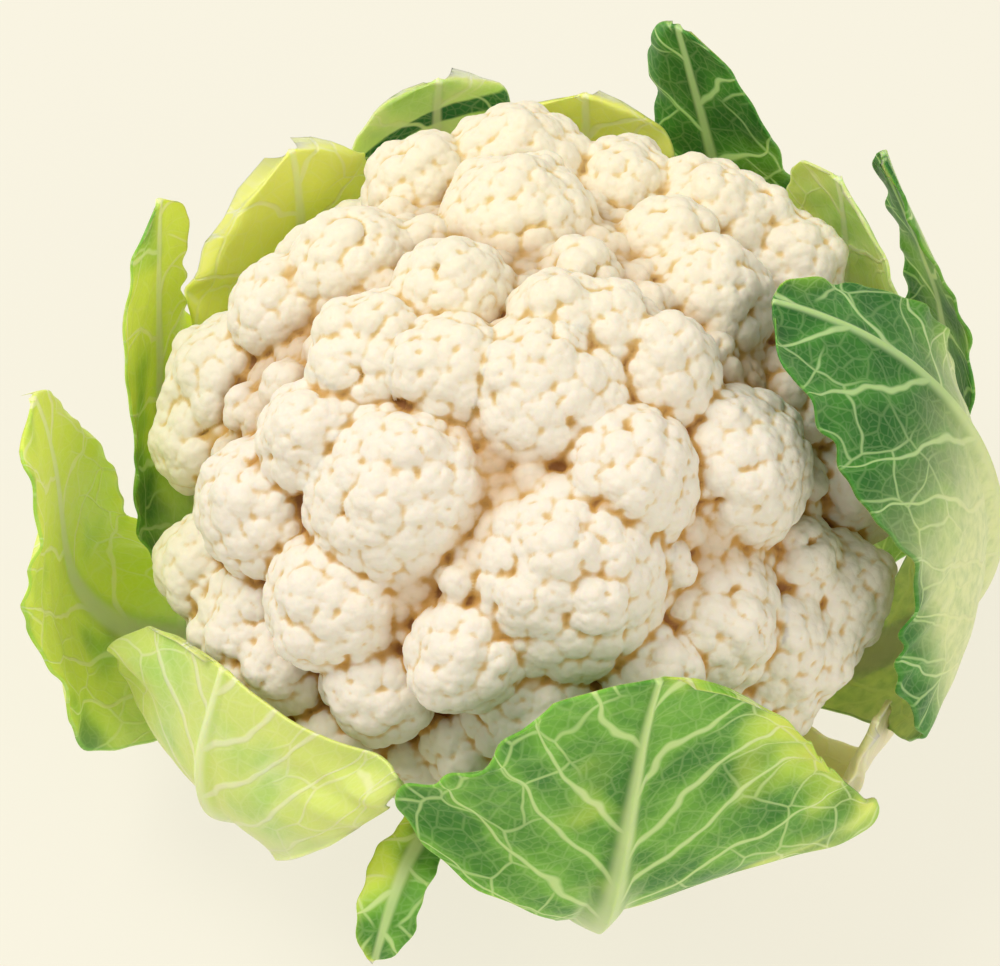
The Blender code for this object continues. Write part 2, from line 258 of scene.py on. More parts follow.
hand_over(link("stalk_cut", mesh), "stalk")


# Curd
# The white head: florets of several sizes on thick branches, packed into a dome. Each floret is a cushion
# of knobs, and each knob a cluster of fine beads. It grew as one piece, creamy white with a straw tint in
# its creases. The paler top and the tan and umber down in the creases and gaps are painted light and shade.

CURD_RADIUS = 89 * MM
CURD_RISE = 71 * MM
CURD_LEVEL = 97 * MM
SEEN_FROM = math.radians(50)
SEEN_AT = 925 * MM
# Florets as they show from the front: right and up of the curd's centre, and radius, in millimetres.
SEEN_FLORETS = [
    (-27, -9, 20), (11, -27, 23), (27, -5, 15), (52, -2, 17), (7, 14, 18), (36, 21, 12),
    (-54, -40, 21), (-32, -54, 13), (-43, -34, 15), (-42, -71, 12), (-25, -72, 10), (-12, -47, 12),
    (4, -58, 15), (-11, -67, 11), (44, -39, 18), (67, -27, 12), (68, -52, 19), (54, -64, 14),
    (79, -5, 13), (33, -51, 11), (46, 37, 15), (11, 33, 11), (23, 31, 11), (1, 53, 18),
    (1, 68, 17), (55, 62, 16), (38, 51, 12), (55, 49, 12), (74, 52, 12), (26, 63, 14),
    (-21, 64, 14), (-39, 44, 15), (-32, 23, 15), (-15, 39, 13), (-56, 36, 12), (-64, 15, 19),
    (-75, 5, 12), (-60, -12, 15), (-74, -27, 12), (-16, 21, 12), (27, -72, 14), (66, 16, 15),
    (80, -34, 13), (78, -50, 13), (71, -64, 12), (-47, 4, 13),
]  # fmt: skip
BULGE = 1.16  # how far a floret at the dome's edge may stand out of it
SWELL = 1.28  # a floret is this much wider than what its neighbours leave in sight
Spiral = namedtuple("Spiral", "count radii sunk spacing")
SPIRALS = [
    Spiral(90, (13 * MM, 18 * MM), 0, 0.85),
    Spiral(130, (10 * MM, 12 * MM), 5 * MM, 0.70),
    Spiral(420, (7 * MM, 9 * MM), 9 * MM, 0.70),
]  # fmt: skip
LOWEST_FLORET = -0.34  # as a share of the dome's rise
GOLDEN_ANGLE = math.pi * (3 - math.sqrt(5))
FLORET_SEED = 11
FLORET_SHARE = 0.94  # of a floret's radius, before its knobs grow
UNEVEN = 0.07  # how far a floret strays from round
FLORETS_FROM = 68 * MM  # knobs grow above this height, and the branches below it stay smooth
LUMP_SIZES = (0.82, 1.14)  # the smallest and the largest of a floret's lumps, as shares of the usual one
CUSHIONS_FROM = (52 * MM, 70 * MM)  # beads and fine knobs come in between these heights
CUSHION_REACH = 0.9  # a cushion's radius as a share of the spacing
CUSHION_LEVEL = 0.82  # the height of its dome at which the surface stays where it was
CORE_DEPTH = 13.5 * MM
CORE_UNDER = 34 * MM
STEMS = 10
STEM_FOOT = (15, 44)  # millimetres from the axis, and up from the cut end
STEM_TOP = (56, 80)
STEM_RADII = (11 * MM, 17 * MM)
STEM_SIDES = 24
SKIN = 0.6 * MM  # size of the curd's faces
SECTORS = 8
SECTOR_POINT = CURD_LEVEL - 8 * MM  # height of the hidden point inside the head that closes a sector
DEEPEST = 4 * MM  # deeper than any crease, so the hidden faces that close a sector are painted in the darkest shadow colour


def on_dome(right, up, radius):
    """The centre of a floret seen at (right, up): it touches the dome inside, or bulges past its edge."""
    wide, high = CURD_RADIUS - radius, CURD_RISE - radius
    scale = Vector((1 / wide, 1 / wide, 1 / high))
    start = Vector((right, up * math.sin(SEEN_FROM), up * math.cos(SEEN_FROM)))
    eye = Vector((0, -math.cos(SEEN_FROM), math.sin(SEEN_FROM))) * SEEN_AT
    along = (eye - start).normalized() * scale
    start *= scale
    middle = -start.dot(along) / along.length_squared
    inside = middle**2 - (start.length_squared - 1) / along.length_squared
    hit = start + along * (middle + math.sqrt(max(inside, 0)))
    hit *= min(hit.length, BULGE) / hit.length
    return Vector((hit.x * wide, hit.y * wide, CURD_LEVEL + hit.z * high))


def on_spiral(height, angle, depth):
    """A place inside the dome, depth below the tops of the florets."""
    around = math.sqrt(1 - height**2) * (CURD_RADIUS - depth)
    lift = height * (CURD_RISE - depth)
    return Vector((around * math.sin(angle), around * math.cos(angle), CURD_LEVEL + lift))


def floret_places(draw):
    """Centre and radius of every floret: those that show from the front, then those on the spirals."""
    places = []
    for right, up, r in SEEN_FLORETS:
        radius = r * MM * SWELL
        places.append((on_dome(right * MM, up * MM, radius), radius))
    for spiral in SPIRALS:
        for i in range(spiral.count):
            radius = draw.uniform(*spiral.radii)
            height = 1 - (1 - LOWEST_FLORET) * (i + 0.5) / spiral.count
            centre = on_spiral(height, GOLDEN_ANGLE * i, radius + spiral.sunk)
            if all((centre - c).length > spiral.spacing * (radius + r) for c, r in places):
                places.append((centre, radius))
    return places


class Growth(Nodes):
    """A geometry node tree that takes a mesh and gives a mesh, with its sizes as named inputs."""

    def __init__(self, name, **sizes):
        super().__init__(bpy.data.node_groups.new(name, "GeometryNodeTree"))
        self.sizes = sizes
        face = self.tree.interface
        face.new_socket("Geometry", in_out="INPUT", socket_type="NodeSocketGeometry")
        for label, value in sizes.items():
            kind = "NodeSocketInt" if isinstance(value, int) else "NodeSocketFloat"
            face.new_socket(label, in_out="INPUT", socket_type=kind)
        face.new_socket("Geometry", in_out="OUTPUT", socket_type="NodeSocketGeometry")
        shown = self.tree.nodes.new("NodeGroupInput").outputs
        self.given = {label: Value(self, shown[label]) for label in ("Geometry", *sizes)}

    def scatter(self, geometry, spacing, seed, **where):
        kind = {"distribute_method": "POISSON"}
        return self.add(
            "GeometryNodeDistributePointsOnFaces", kind, geometry,
            Distance_Min=spacing, Density_Max=1e6, Seed=seed, **where,
        )  # fmt: skip

    def lumps(self, geometry, radius, spacing, sunk, seed):
        """Sets balls into the surface, so that each floret becomes a bunch of smaller ones."""
        x, y, z = self.parts(self.add("GeometryNodeInputPosition", {}))
        on_florets = z.maths("GREATER_THAN", FLORETS_FROM)
        points = self.scatter(geometry, spacing, seed, Selection=on_florets)
        normal = Value(self, points.socket.node.outputs["Normal"])
        inward = self.vector("SCALE", normal, Scale=0 - sunk)
        points = self.add("GeometryNodeSetPosition", {}, points, Offset=inward)
        ball = self.add("GeometryNodeMeshIcoSphere", {}, radius, 3)
        size = self.add("FunctionNodeRandomValue", {"data_type": "FLOAT"}, *LUMP_SIZES, Seed=2)
        balls = self.add("GeometryNodeInstanceOnPoints", {}, points, Instance=ball, Scale=size)
        both = self.tree.nodes.new("GeometryNodeJoinGeometry")
        for part in (self.add("GeometryNodeRealizeInstances", {}, balls), geometry):
            self.tree.links.new(part.socket, both.inputs[0])
        return Value(self, both.outputs[0])

    def cushions(self, geometry, spacing, swell, seed):
        """Grows a round cushion about every scattered point, so that neighbours meet in a crease."""
        points = self.scatter(geometry, spacing, seed)
        away = self.add("GeometryNodeProximity", {"target_element": "POINTS"}, points, pick="Distance")
        share = away / (spacing * CUSHION_REACH)
        cap = (1 - share * share).most(0.0).maths("SQRT")
        x, y, z = self.parts(self.add("GeometryNodeInputPosition", {}))
        height = (cap - CUSHION_LEVEL) * spacing * swell * z.step(*CUSHIONS_FROM)
        outward = self.vector("SCALE", self.add("GeometryNodeInputNormal", {}), Scale=height)
        return self.add("GeometryNodeSetPosition", {}, geometry, Offset=outward)

    def softened(self, geometry, steps):
        """Rounds off the sharpest creases."""
        here = self.add("GeometryNodeInputPosition", {})
        even = self.add("GeometryNodeBlurAttribute", {"data_type": "FLOAT_VECTOR"}, here, steps)
        return self.add("GeometryNodeSetPosition", {}, geometry, Position=even)

    def hollow(self, geometry, name, steps):
        """Stores how far each point lies below the surface as it is when smoothed this many steps."""
        here = self.add("GeometryNodeInputPosition", {})
        even = self.add("GeometryNodeBlurAttribute", {"data_type": "FLOAT_VECTOR"}, here, steps)
        below = self.vector(
            "DOT_PRODUCT", self.vector("SUBTRACT", even, here), self.add("GeometryNodeInputNormal", {})
        )
        kind = {"data_type": "FLOAT", "domain": "POINT"}
        return self.add("GeometryNodeStoreNamedAttribute", kind, geometry, Name=name, Value=below)

    def put_on(self, obj, geometry, material):
        """Ends the tree and puts it on the object with its sizes set."""
        real = self.add("GeometryNodeRealizeInstances", {}, geometry)
        made = self.add("GeometryNodeSetMaterial", {}, real, Material=material)
        self.tree.links.new(made.socket, self.tree.nodes.new("NodeGroupOutput").inputs[0])
        modifier = obj.modifiers.new(self.tree.name, "NODES")
        modifier.node_group = self.tree
        for item in self.tree.interface.items_tree:
            if item.name in self.sizes:
                modifier[item.identifier] = self.sizes[item.name]


# The curd's colours. Straw is partly its own tint in the creases. Amber, tan and umber are painted shade
# and shadow for its creases, gaps and pits, and the greenish is a painted reflection of the leaves.
CREAM = (0.86, 0.79, 0.60)
WHITE = (0.84, 0.775, 0.655)
STRAW = (0.74, 0.53, 0.17)
AMBER_SHADE = (0.68, 0.42, 0.13)
TAN_SHADE = (0.52, 0.27, 0.05)
UMBER_SHADOW = (0.26, 0.10, 0.02)
LEAF_BOUNCE_GREEN = (0.66, 0.68, 0.20)
STEM = (0.72, 0.76, 0.44)

CURD_GLOW = (1.0, 0.55, 0.25)
curd_shade = Shade("curd", roughness=0.6, glow=0.25, depth=1.6 * MM, glow_reach=CURD_GLOW, shine=0.3)
bead_dip, knob_dip, floret_dip = (curd_shade.attribute(name) for name in ("fine", "middle", "broad"))
x, y, z = curd_shade.parts(curd_shade.place)
# out is 0 at the dome's centre and 1 on the dome. upper is 1 on the top and the back of the head, where
# most
# light reaches it: there the colour is painted paler and creamier, with paler creases, a painted light.
out = curd_shade.vector(
    "LENGTH",
    curd_shade.joined(x * (1 / CURD_RADIUS), y * (1 / CURD_RADIUS), (z - CURD_LEVEL) * (1 / CURD_RISE)),
)
patches = curd_shade.noise(40 * MM, 3.0)
upper = (z + y * 0.6).step(0.11, 0.19)
head = curd_shade.mix((upper * 0.7 + patches * 0.4).step(0.2, 1.0), WHITE, CREAM)
# Partly the curd's own straw tint and partly painted shade: the creases between beads and knobs are
# darkened towards straw, and towards a deeper amber low on the head, where less light falls.
crease = curd_shade.mix(upper, AMBER_SHADE, STRAW)
head = curd_shade.mix(bead_dip.step(-0.02 * MM, 0.18 * MM) * 0.50, head, STRAW)
head = curd_shade.mix(knob_dip.step(0.0, 0.50 * MM) * 0.70, head, crease)
# Painted shade: tan in the creases between florets and in the hollows deep in the dome, with less of it on
# the top where light falls. Painted shadow: dark umber in the deepest gaps and hidden hollows.
crevice_shade = floret_dip.step(0.4 * MM, 1.3 * MM).most((1 - out).step(0.10, 0.22))
head = curd_shade.mix(crevice_shade * (0.9 - upper * 0.70), head, TAN_SHADE)
pit_shadow = floret_dip.step(1.2 * MM, 2.2 * MM).most((1 - out).step(0.14, 0.26))
head = curd_shade.mix(pit_shadow, head, UMBER_SHADOW)
# Painted reflection: the left side is tinted green as if lit by light bounced from the leaves round it.
leaf_bounce_light = (y * 0.35 - x - z * 0.5).step(-0.01, 0.06)
head = curd_shade.mix(leaf_bounce_light * 0.45, head, LEAF_BOUNCE_GREEN)
under = 1 - (z + out * 0.02).step(70 * MM, 84 * MM)
curd_shade.colour(curd_shade.mix(under, head, STEM))
curd_shade.relief(1 - curd_shade.cells(1.8 * MM), 0.4 * MM, 0.5)

florets = floret_places(random.Random(FLORET_SEED))
bm = bmesh.new()
for vert in bmesh.ops.create_icosphere(bm, subdivisions=4, radius=1)["verts"]:
    wide, high = CURD_RADIUS - CORE_DEPTH, CURD_RISE - CORE_DEPTH
    if vert.co.z < 0:
        high = CORE_UNDER
    vert.co = Vector((vert.co.x * wide, vert.co.y * wide, CURD_LEVEL + vert.co.z * high))
for i in range(STEMS):
    bearing = 2 * math.pi * i / STEMS
    toward = Vector((math.sin(bearing), -math.cos(bearing), 0))
    foot, top = (toward * reach * MM + Vector((0, 0, up * MM)) for reach, up in (STEM_FOOT, STEM_TOP))
    turn = (top - foot).to_track_quat("Z", "Y").to_matrix().to_4x4()
    turn.translation = (foot + top) / 2
    bmesh.ops.create_cone(
        bm, cap_ends=True, segments=STEM_SIDES, radius1=STEM_RADII[0], radius2=STEM_RADII[1],
        depth=(top - foot).length, matrix=turn,
    )  # fmt: skip
for centre, radius in florets:
    for vert in bmesh.ops.create_icosphere(bm, subdivisions=4, radius=1)["verts"]:
        stray = noise.noise(vert.co * 1.3 + centre * 200)
        vert.co = centre + vert.co * radius * FLORET_SHARE * (1 + UNEVEN * stray)
mesh = bpy.data.meshes.new("curd")
bm.to_mesh(mesh)
bm.free()
whole = link("curd_whole", mesh)

lumps = Growth("lumps", Radius=8.5 * MM, Spacing=13.5 * MM, Sunk=6.4 * MM, Seed=4)
sizes = [lumps.given[name] for name in ("Geometry", "Radius", "Spacing", "Sunk", "Seed")]
lumps.put_on(whole, lumps.lumps(*sizes), curd_shade.material)
skin = whole.modifiers.new("skin", "REMESH")
skin.mode = "VOXEL"
skin.voxel_size = SKIN
skin.use_smooth_shade = True

growth = Growth(
    "growth", Knob=7.2 * MM, Bead=2.8 * MM, Knob_swell=0.48, Bead_swell=0.32, Seed=9,
)  # fmt: skip
given = growth.given
grown = given["Geometry"]
for size in ("Knob", "Bead"):
    grown = growth.cushions(grown, given[size], given[size + "_swell"], given["Seed"])
grown = growth.softened(grown, 1)
smoothing = {"fine": 3, "middle": 14, "broad": 110}  # shows the creases of beads, of knobs and of florets
for name, steps in smoothing.items():
    grown = growth.hollow(grown, name, steps)
growth.put_on(whole, grown, curd_shade.material)
mesh = bpy.data.meshes.new_from_object(whole.evaluated_get(bpy.context.evaluated_depsgraph_get()))
bpy.data.objects.remove(whole)


def read(items, name, wide, kind=np.float32):
    """One property of many items as an array."""
    found = np.empty(len(items) * wide, kind)
    items.foreach_get(name, found)
    return found.reshape(-1, wide) if wide > 1 else found


points = read(mesh.vertices, "co", 3)
normals = read(mesh.vertex_normals, "vector", 3)
corners = read(mesh.loops, "vertex_index", 1, np.int32).reshape(-1, 4)
dips = {name: read(mesh.attributes[name].data, "value", 1) for name in smoothing}

# The head is parted into sectors round the stalk. Each floret belongs to one sector, with the skin that
# lies nearest to it.
centres = np.array([tuple(centre) for centre, _ in florets])
middles = points[corners].mean(1)
nearest = np.full(len(middles), 1e9, np.float32)
owner = np.zeros(len(middles), np.int32)
for k, (_, radius) in enumerate(florets):
    away = np.linalg.norm(middles - centres[k], axis=1) - radius
    closer = away < nearest
    nearest[closer], owner[closer] = away[closer], k
order = np.argsort(np.arctan2(centres[:, 0], -centres[:, 1]))
total = np.cumsum(np.bincount(owner, minlength=len(florets))[order])
sector_of = np.empty(len(florets), np.int32)
sector_of[order] = np.minimum((total - 1) * SECTORS // total[-1], SECTORS - 1)


def closed_sector(name, chosen):
    """The chosen faces as a solid: every open edge is closed down to one point inside the head."""
    used, faces = np.unique(corners[chosen], return_inverse=True)
    faces = faces.reshape(-1, 4)
    at = points[used]
    edges = np.stack([faces, np.roll(faces, -1, 1)], -1).reshape(-1, 2).astype(np.int64)
    met = np.isin(edges[:, 0] * len(used) + edges[:, 1], edges[:, 1] * len(used) + edges[:, 0])
    inside = len(used)
    rim = np.column_stack([edges[~met][:, ::-1], np.full((~met).sum(), inside)])
    at = np.vstack([at, at.mean(0) * (0.5, 0.5, 0) + (0, 0, SECTOR_POINT)])
    walls = np.cross(at[rim[:, 1]] - at[rim[:, 0]], at[rim[:, 2]] - at[rim[:, 0]])
    walls /= np.maximum(np.linalg.norm(walls, axis=1, keepdims=True), 1e-12)
    made = bpy.data.meshes.new(name)
    made.from_pydata(at.tolist(), [], faces.tolist() + rim.tolist())
    made.shade_smooth()
    for label, values in dips.items():
        layer = made.attributes.new(label, "FLOAT", "POINT")
        layer.data.foreach_set("value", np.append(values[used], DEEPEST).astype(np.float32))
    made.materials.append(curd_shade.material)
    shading = np.vstack([normals[used][faces].reshape(-1, 3), np.repeat(walls, 3, axis=0)])
    made.normals_split_custom_set(shading.tolist())
    return link(name, made)


for k in range(SECTORS):
    sector = closed_sector(f"curd_sector_{k + 1}", np.flatnonzero(sector_of[owner] == k))
    hand_over(sector, "curd")


# Wrapper leaves
# Thirteen leaves in three whorls round the stalk, left on to protect the head. Each has a thick pale
# midrib, veins that branch from it, and a thin blade puckered between them with a ruffled margin.

BLADE = 0.8 * MM
RIB_TIP = 1.8 * MM
ROOT_GAP = 0.3 * MM  # between the stalk and the leaf's base
INNER_FACE = 0.25 * MM  # how far outside the midrib's line the inner face lies
WIDEST = 0.45  # of the way from the neck to the tip, where the blade is widest
TIP_WIDTH = 0.30  # the tip's half width as a share of the blade's
ROUNDED_FROM = 0.97  # of the way to the tip, where its last corners round off
LEAF_GRID = 1.15 * MM
RUFFLE = 13 * MM  # from one small ruffle of the margin to the next
GREENING = 0.22  # share of the leaf over which the pale base turns green
# Height of the margin's teeth and lobes and of the blade's puckers, in millimetres, and the length that one
# radian of each wave takes. Lobes grow with the leaf's ruffles.
TOOTH, TOOTH_STEP = 1.1, 4.1
FINE_TOOTH, FINE_TOOTH_STEP = 0.3, 1.3
LOBE, LOBE_STEP = 1.7, 9.7
LOBES_END = (0.80, 0.92)  # shares of the way to the tip between which the lobes die away
PUCKER, PUCKER_STEP, PUCKER_ROW = 0.25, 3.4, 3.1
# Side veins either run parallel or fan out from one place. Spacings are in millimetres along the midrib,
# and a slope is a vein's rise for each step away from the midrib.
VEIN_SPACING, VEIN_SLOPE = 19, 0.95
FAN_SPACING, FAN_SLOPE = 2.6, 0.25
FAN_OPENING = 0.34  # how much steeper each further vein of a fan is
MOST_VEINS = 12  # on each side of a leaf
HALVINGS = 24  # of the span in which a vein is looked for
FOLD_AT, FOLD_WIDTH = 0.90, 0.02  # where the dark band painted in place of a fold lies, as shares of the leaf's length
# Heights and radii are in millimetres, angles in degrees. The midrib leaves the stalk at root_height and
# root_bearing, stands upright at the belly and ends at the tip, leaning outwards by lean. left and right
# are the blade's half width and how far that side hangs back. The blade starts at neck. blunt is the shape
# of its end, wrap how closely it follows the curd, twist turns the right margin outwards, sway turns the
# tip in bearing, roll curls the margins outwards, wave and waves are the large ruffles. ruffle is the
# height of the small ones. The base is pale up to pale along the leaf, and beyond fleshy from the midrib
# left_rim and right_rim say how green it is all the same. gilt says how far the left and the right margin
# have yellowed, fan how closely the side veins spring from one place at the base, and fold how dark a band
# painted near the tip is: the darker green and the painted shade of a fold, on a blade that stays unfolded.
Leaf = namedtuple(
    "Leaf",
    "name root_height root_bearing bearing belly belly_height tip tip_height lean "
    "left right neck blunt petiole rib wrap twist sway roll wave waves "
    "ruffle pale fleshy left_rim right_rim gilt fan fold",
)
LEAVES = {
    "leaf_green": [
        Leaf("leaf_front", 11, 14, 10, 100, 58, 94, 126, 2, (54, -19), (72, 38), 0.45, 1.15, 10, 9.5,
             0.62, 0, 10, 3, 3.5, 3.5, 1.6, 0.41, 4, 1.0, 1.0, (-0.25, 0.42), 1.0, 0),
        Leaf("leaf_left", 11, 262, 272, 113, 66, 115, 125, 10, (36, 30), (43, -8), 0.12, 2.2, 10, 8,
             0.95, 10, 0, 2, 3.5, 3.0, 0.8, 0.30, 9, 0.3, 0.3, (0.85, 0.60), 0.6, 0),
        Leaf("leaf_left_back", 22, 240, 251, 100, 78, 102, 134, 0, (20, 10), (30, 10), 0.12, 1.5, 9, 7,
             0.90, -3, -12, 0, 2.0, 2.5, 0.8, 0.35, 10, 0.3, 0.3, (0.65, 0.45), 0.3, 0),
        Leaf("leaf_front_hanging", 33, 341, 346, 92, 54, 110, 33, 180, (7, 0), (7, 0), 0.40, 2.6, 6, 5,
             1.0, 0, -4, 0, 1.5, 1.5, 0.8, 0.30, 4, 0.8, 0.8, (0.5, 0.0), 0.0, 0),
    ],
    "leaf_pale": [
        Leaf("leaf_front_left", 22, 314, 312, 101, 58, 92, 94, -16, (44, 14), (52, -34), 0.44, 3.4, 9, 8,
             1.0, 0, 0, 3, 2.5, 4.5, 2.0, 0.50, 12, 0.5, 0.4, (0.60, 0.60), 0.6, 0),
        Leaf("leaf_back_pale", 11, 200, 191, 107, 74, 102, 128, -25, (32, 12), (34, 12), 0.12, 2.6, 10, 8,
             0.95, 0, 0, 1, 2.5, 3.0, 1.0, 0.80, 20, 0.0, 0.4, (0.30, 0.10), 0.3, 1),
        Leaf("leaf_right_back_pale", 33, 125, 123, 100, 80, 94, 143, -16, (38, 4), (30, 8), 0.12, 2.6, 9, 7,
             1.0, 0, 0, 0, 1.0, 2.5, 0.5, 0.60, 12, 0.0, 0.3, (0.30, 0.50), 0.3, 0),
    ],
    "leaf_yellow": [
        Leaf("leaf_curled", 33, 214, 216, 94.5, 80, 96, 126, 12, (30, 8), (44, 26), 0.12, 3.0, 9, 7,
             1.0, 0, 0, 6, 1.5, 3.5, 2.2, 0.35, 9, 0.3, 0.3, (0.90, 0.90), 0.3, 0),
        Leaf("leaf_back_yellow", 33, 172, 169, 97, 80, 94, 131, -8, (30, 6), (30, 6), 0.12, 3.2, 9, 7,
             1.0, 0, 0, 1, 1.5, 3.0, 1.0, 0.35, 12, 0.3, 0.3, (0.90, 0.40), 0.3, 0),
    ],
    "leaf_dark": [
        Leaf("leaf_back_dark", 22, 148, 143, 110, 78, 110, 146, 4, (25, 6), (17, 0), 0.12, 3.0, 9, 8,
             0.85, 0, 15, 2, 2.5, 2.5, 1.0, 0.30, 8, 0.6, 0.6, (0.10, 0.10), 0.2, 0),
        Leaf("leaf_right_upright", 11, 112, 108, 122, 76, 106, 147, -12, (18, 8), (17, 8), 0.12, 2.0, 9, 7,
             1.6, 0, 14, 0, 1.5, 2.5, 0.8, 0.30, 8, 0.6, 0.6, (0.35, 0.15), 0.2, 0),
        Leaf("leaf_right_folded", 22, 74, 86, 117, 74, 60, 156, -74, (62, 2), (34, 12), 0.20, 1.3, 10, 10,
             1.5, 0, 2, 2, 2.5, 4.0, 1.0, 0.62, 38, 1.0, 0.3, (0.00, 0.35), 0.3, 0),
    ],
    "leaf_blush": [
        Leaf("leaf_small_pale", 33, 52, 56.5, 101.5, 44, 104, 68, 8, (17, 4), (19, 2), 0.30, 2.6, 7, 5,
             0.90, 0, 0, 1, 2.0, 2.0, 0.6, 0.70, 8, 0.0, 0.0, (0.30, 0.30), 0.2, 0),
    ],
}  # fmt: skip
HANGING = "leaf_front_hanging"  # the one leaf whose midrib runs outwards at the belly and then drops
UPWARDS = np.array([0.0, 1.0])
OUTWARDS = np.array([0.995, 0.0995])
RIB_POINTS = 41  # on each half of a midrib


def bezier(a, b, c, d):
    t = np.linspace(0, 1, RIB_POINTS)[:, None]
    return a * (1 - t) ** 3 + 3 * b * t * (1 - t) ** 2 + 3 * c * t**2 * (1 - t) + d * t**3


def midrib(leaf):
    """The midrib as (distance from the axis, height), evenly spaced from root to tip, and its length."""
    root = np.array([STALK_RADIUS + ROOT_GAP, leaf.root_height * MM])
    belly = np.array([leaf.belly, leaf.belly_height]) * MM
    tip = np.array([leaf.tip, leaf.tip_height]) * MM
    lean = math.radians(leaf.lean)
    end = np.array([math.sin(lean), math.cos(lean)])
    course = OUTWARDS if leaf.name == HANGING else UPWARDS
    low, high = np.linalg.norm(belly - root), np.linalg.norm(tip - belly)
    lower = bezier(root, root + np.array([0.5, 0.06]) * low, belly - course * 0.4 * low, belly)
    upper = bezier(belly, belly + course * 0.4 * high, tip - end * 0.35 * high, tip)
    line = np.vstack([lower, upper[1:]])
    run = np.append(0, np.cumsum(np.linalg.norm(np.diff(line, axis=0), axis=1)))
    even = np.linspace(0, run[-1], len(line))
    return np.stack([np.interp(even, run, line[:, k]) for k in (0, 1)], 1), run[-1]


def smooth(x):
    x = np.clip(x, 0, 1)
    return x * x * (3 - 2 * x)


def bladed(leaf, u):
    """0 up to the neck, 1 from the blade's widest place on, for u along the midrib."""
    return smooth((u - leaf.neck) / (WIDEST * (1 - leaf.neck)))


def taper(leaf, u):
    """The blade's half width past its widest place, as a share of it."""
    widest = leaf.neck + WIDEST * (1 - leaf.neck)
    past = np.clip((u - widest) / (1 - widest), 0, 1)
    end = (1 - (1 - TIP_WIDTH**leaf.blunt) * past**leaf.blunt) ** (1 / leaf.blunt)
    last = np.clip((u - ROUNDED_FROM) / (1 - ROUNDED_FROM), 0, 1)
    return end * np.sqrt(1 - 0.85 * last**2)


def half_width(leaf, u, side, length):
    """The blade's half width at u along the midrib, with an uneven, finely toothed margin."""
    blade = (leaf.right if side > 0 else leaf.left)[0]
    at = u * length / MM
    phase = side + leaf.bearing
    tooth = TOOTH * np.sin(at / TOOTH_STEP + phase) * np.sin(at / 11 + 2 * phase)
    tooth = tooth + FINE_TOOTH * np.sin(at / FINE_TOOTH_STEP + phase)
    lobe = LOBE * leaf.ruffle * np.sin(at / LOBE_STEP + phase + 2 * np.sin(at / 21 + phase))
    lobe = lobe * (0.55 + 0.45 * np.sin(at / 31 + phase))
    lobe = lobe * (1 - smooth((u - LOBES_END[0]) / (LOBES_END[1] - LOBES_END[0])))
    wide = leaf.petiole + (blade - leaf.petiole) * bladed(leaf, u)
    return (wide * taper(leaf, u) + bladed(leaf, u) * (tooth + lobe)) * MM


def rib_reach(leaf, u):
    return leaf.petiole * MM * (1 - u) ** 1.3 + 1.5 * MM


def hung(leaf, length, u, f):
    """Where along the midrib a point across from u lies, once its side hangs back."""
    back = np.where(f > 0, leaf.right[1], leaf.left[1]) * MM / length
    return u - bladed(leaf, u) * taper(leaf, u) * back * f * f


def side_veins(leaf, along, off):
    """Counts the side veins from the base up, whole on each vein, and says how wide one count is there.

    Vein k leaves the midrib at source(k) and rises by slope(k) for each step away from it. along and off
    are in millimetres.
    """
    base = leaf.neck * 0.95 * along.max()

    def source(k):
        return base + (1 - leaf.fan) * VEIN_SPACING * k + leaf.fan * FAN_SPACING * k * np.abs(k)

    def slope(k):
        return (1 - leaf.fan) * VEIN_SLOPE + leaf.fan * (FAN_SLOPE + FAN_OPENING * np.clip(k, -2, 3))

    low, high = np.full_like(along, -MOST_VEINS), np.full_like(along, MOST_VEINS)
    for _ in range(HALVINGS):
        middle = (low + high) / 2
        beyond = source(middle) + slope(middle) * off > along
        low, high = np.where(beyond, low, middle), np.where(beyond, middle, high)
    rise = source(low + 0.5) - source(low - 0.5) + (slope(low + 0.5) - slope(low - 0.5)) * off
    return low, rise / np.sqrt(1 + slope(low) ** 2)


